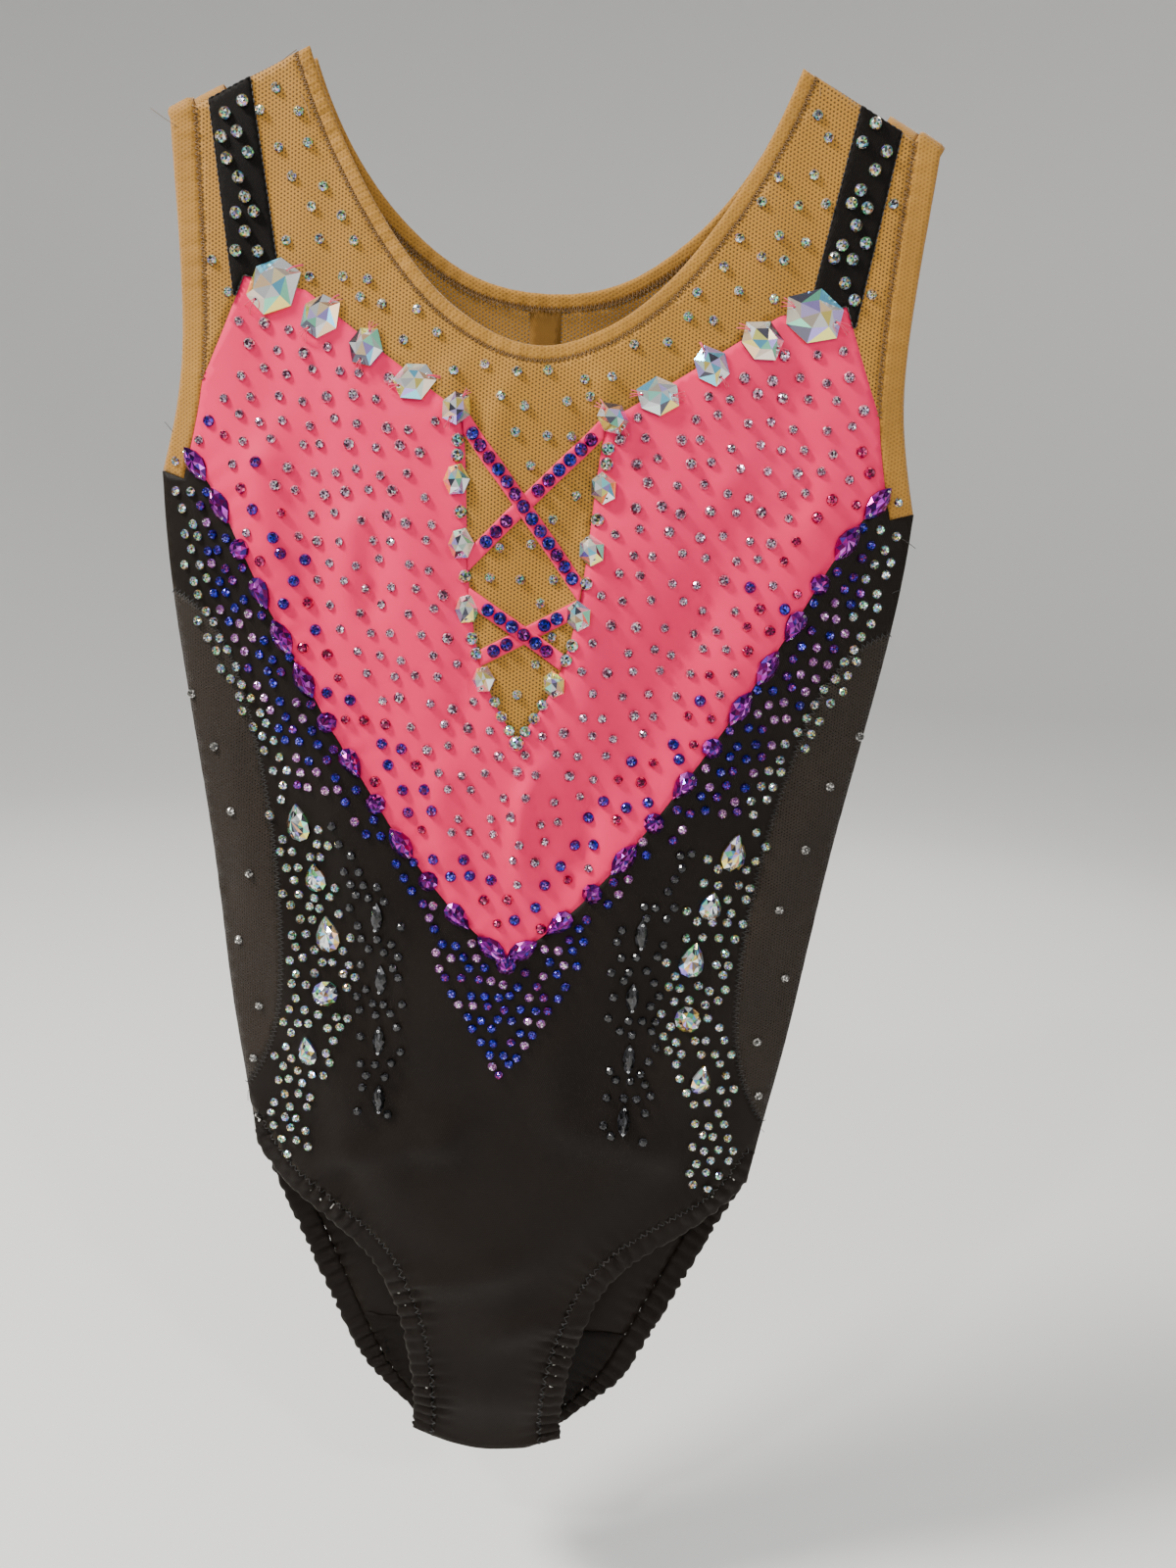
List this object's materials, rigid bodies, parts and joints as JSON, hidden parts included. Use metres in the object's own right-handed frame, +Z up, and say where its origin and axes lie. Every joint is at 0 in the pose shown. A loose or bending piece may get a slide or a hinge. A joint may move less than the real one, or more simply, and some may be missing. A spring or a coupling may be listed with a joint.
{
  "type": "gymnastics leotard",
  "caption": "Sleeveless gymnastics leotard with mesh yoke, satin front panel laced over a keyhole, crystal trim and gathered leg hems, hanging by its shoulders",
  "frame": {"origin": "middle of the line through the neck ends of the two shoulders, where the garment hangs", "axes": "+X to the wearer's left, -Y out of the front, +Z up along the body"},
  "size_m": [0.314, 0.0487, 0.6232],
  "materials": {
    "skin_mesh": "fine hexagonal power mesh, slightly see-through",
    "skin_binding": "doubled mesh binding with zigzag stitching",
    "pink_satin": "stretch satin with a soft sheen",
    "black_knit": "dense brownish-black stretch knit",
    "black_hem": "folded hem gathered on elastic",
    "black_strap": "matt black knit strap",
    "black_sheer": "sheer black mesh",
    "elastic": "woven elastic",
    "lining": "cotton lining",
    "seam_tape": "thin clear-tone seam tape",
    "label": "blank satin label",
    "clear_crystal": "cut crystal with an iridescent coat",
    "purple_crystal": "cut purple crystal",
    "rose_crystal": "cut light rose crystal with an iridescent coat",
    "fuchsia_crystal": "cut fuchsia crystal",
    "cobalt_crystal": "cut cobalt crystal",
    "jet_crystal": "black cut crystal",
    "smoke_crystal": "smoky black-diamond crystal"
  },
  "bodies": {
    "root": {"armhole_binding_left": "skin_binding", "armhole_binding_right": "skin_binding", "armhole_elastic_left": "elastic", "armhole_elastic_right": "elastic", "back_body_black": "black_knit", "back_yoke_mesh": "skin_mesh", "chain_drops_left": "purple_crystal", "chain_drops_right": "purple_crystal", "chain_navettes_left": "purple_crystal", "chain_navettes_right": "purple_crystal", "chain_rounds_left": "purple_crystal", "chain_rounds_right": "purple_crystal", "clear_drops_left": "clear_crystal", "clear_drops_right": "clear_crystal", "cobalt_stones": "cobalt_crystal", "cosmic_stones_left": "clear_crystal", "cosmic_stones_right": "clear_crystal", "flank_clear_stones_left": "clear_crystal", "flank_clear_stones_right": "clear_crystal", "front_body_black": "black_knit", "front_yoke_mesh": "skin_mesh", "fuchsia_stones": "fuchsia_crystal", "gusset_lining": "lining", "jet_navettes_left": "jet_crystal", "jet_navettes_right": "jet_crystal", "jet_stones_left": "jet_crystal", "jet_stones_right": "jet_crystal", "keyhole_cosmic_stones": "clear_crystal", "keyhole_round_stones": "clear_crystal", "lattice_stones": "purple_crystal", "lattice_strap_lower_over": "pink_satin", "lattice_strap_lower_under": "pink_satin", "lattice_strap_upper_over": "pink_satin", "lattice_strap_upper_under": "pink_satin", "leg_elastic_left": "elastic", "leg_elastic_right": "elastic", "leg_hem_left": "black_hem", "leg_hem_right": "black_hem", "light_rose_stones": "rose_crystal", "mesh_diamonds_left": "smoke_crystal", "mesh_diamonds_right": "smoke_crystal", "neck_binding": "skin_binding", "neck_elastic": "elastic", "pink_satin_panel": "pink_satin", "rose_stones": "rose_crystal", "shoulder_tape_left": "seam_tape", "shoulder_tape_right": "seam_tape", "side_mesh_left": "black_sheer", "side_mesh_right": "black_sheer", "side_seam_left": "black_knit", "side_seam_right": "black_knit", "size_label_blank": "label", "strap_left": "black_strap", "strap_right": "black_strap", "strap_stones_left": "clear_crystal", "strap_stones_right": "clear_crystal", "yoke_clear_stones": "clear_crystal"}
  },
  "joints": []
}
